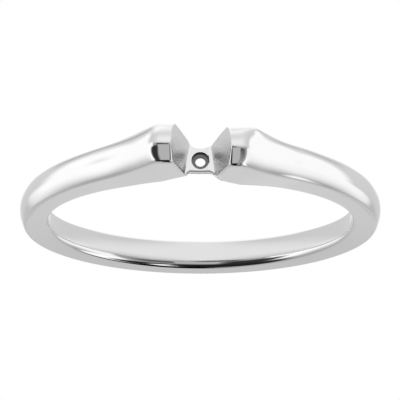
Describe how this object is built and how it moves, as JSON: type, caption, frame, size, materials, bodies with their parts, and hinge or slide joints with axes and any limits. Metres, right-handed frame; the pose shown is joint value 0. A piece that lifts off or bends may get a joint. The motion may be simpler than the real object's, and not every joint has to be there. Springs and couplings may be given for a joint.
{
  "type": "ring mounting",
  "caption": "Polished white-metal ring mounting with a plain band, rising tapered shoulders, an open V gap and a low bridge drilled for a peg head.",
  "frame": {"origin": "middle of the finger bore, halfway across the band", "axes": "+Z along the finger axis, up from the side that the ring lies on; -Y towards the head, the gap between the shoulders; +X across"},
  "size_m": [0.0204, 0.0241, 0.0024],
  "materials": {
    "white_gold": "polished"
  },
  "bodies": {
    "root": {"mounting": "white_gold"}
  },
  "joints": []
}
